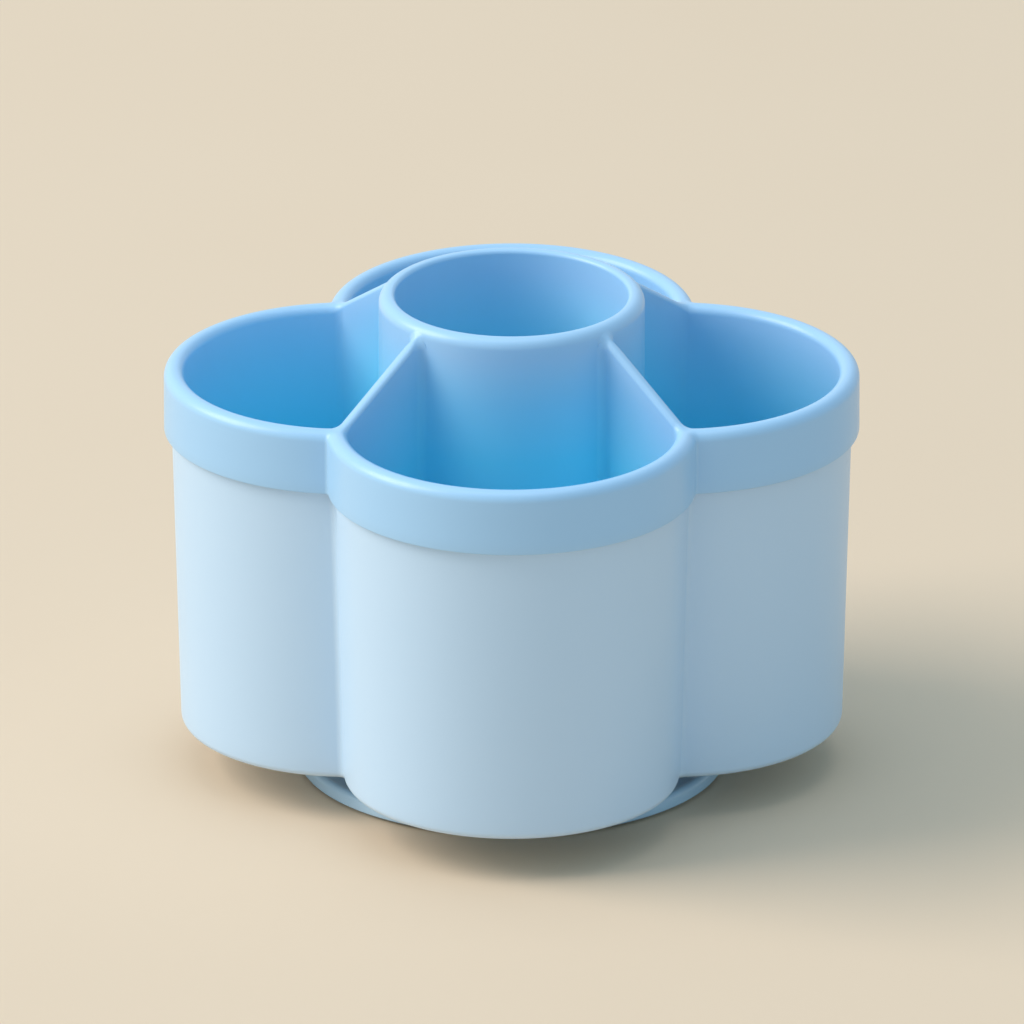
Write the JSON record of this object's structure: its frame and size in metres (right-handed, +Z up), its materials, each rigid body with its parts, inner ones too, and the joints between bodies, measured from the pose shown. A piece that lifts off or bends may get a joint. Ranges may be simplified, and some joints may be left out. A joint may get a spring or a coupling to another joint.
{
  "type": "rotating desk organizer",
  "caption": "Rotating desk organizer: a petal-shaped tub with a drop-in liner of sloped dividers round a raised cup, turning on a ball-bearing foot.",
  "frame": {"origin": "on the turning axis, at the height of the surface that the organizer stands on", "axes": "+Z up along the turning axis; at rest one petal points to each of +X, +Y, -X and -Y, and the front petal points to -Y"},
  "size_m": [0.17, 0.17, 0.1226],
  "materials": {
    "sky_plastic": "satin moulded polypropylene, sky blue",
    "pale_plastic": "satin moulded polypropylene, pale blue",
    "nylon": "natural nylon",
    "ball_steel": "polished bearing steel",
    "zinc_steel": "zinc plated",
    "pad_rubber": "matte grey rubber"
  },
  "bodies": {
    "base": {"base_dish": "sky_plastic", "foot_pad_1": "pad_rubber", "foot_pad_2": "pad_rubber", "foot_pad_3": "pad_rubber", "foot_pad_4": "pad_rubber"},
    "ball_ring": {"ball_cage": "nylon", "ball_1": "ball_steel", "ball_2": "ball_steel", "ball_3": "ball_steel", "ball_4": "ball_steel", "ball_5": "ball_steel", "ball_6": "ball_steel", "ball_7": "ball_steel", "ball_8": "ball_steel", "ball_9": "ball_steel", "ball_10": "ball_steel", "ball_11": "ball_steel", "ball_12": "ball_steel"},
    "turntable": {"outer_tub": "pale_plastic", "cell_liner": "sky_plastic", "pivot_washer": "zinc_steel", "pivot_screw": "zinc_steel"}
  },
  "joints": [
    {"name": "turntable_spin", "type": "hinge", "parent": "base", "child": "turntable", "pos_m": [0, 0, 0], "axis": [0, 0, 1], "continuous": true},
    {"name": "ball_ring_spin", "type": "hinge", "parent": "base", "child": "ball_ring", "pos_m": [0, 0, 0], "axis": [0, 0, 1], "continuous": true}
  ],
  "couplings": [
    {"joint": "ball_ring_spin", "follows": "turntable_spin", "ratio": 0.5}
  ]
}
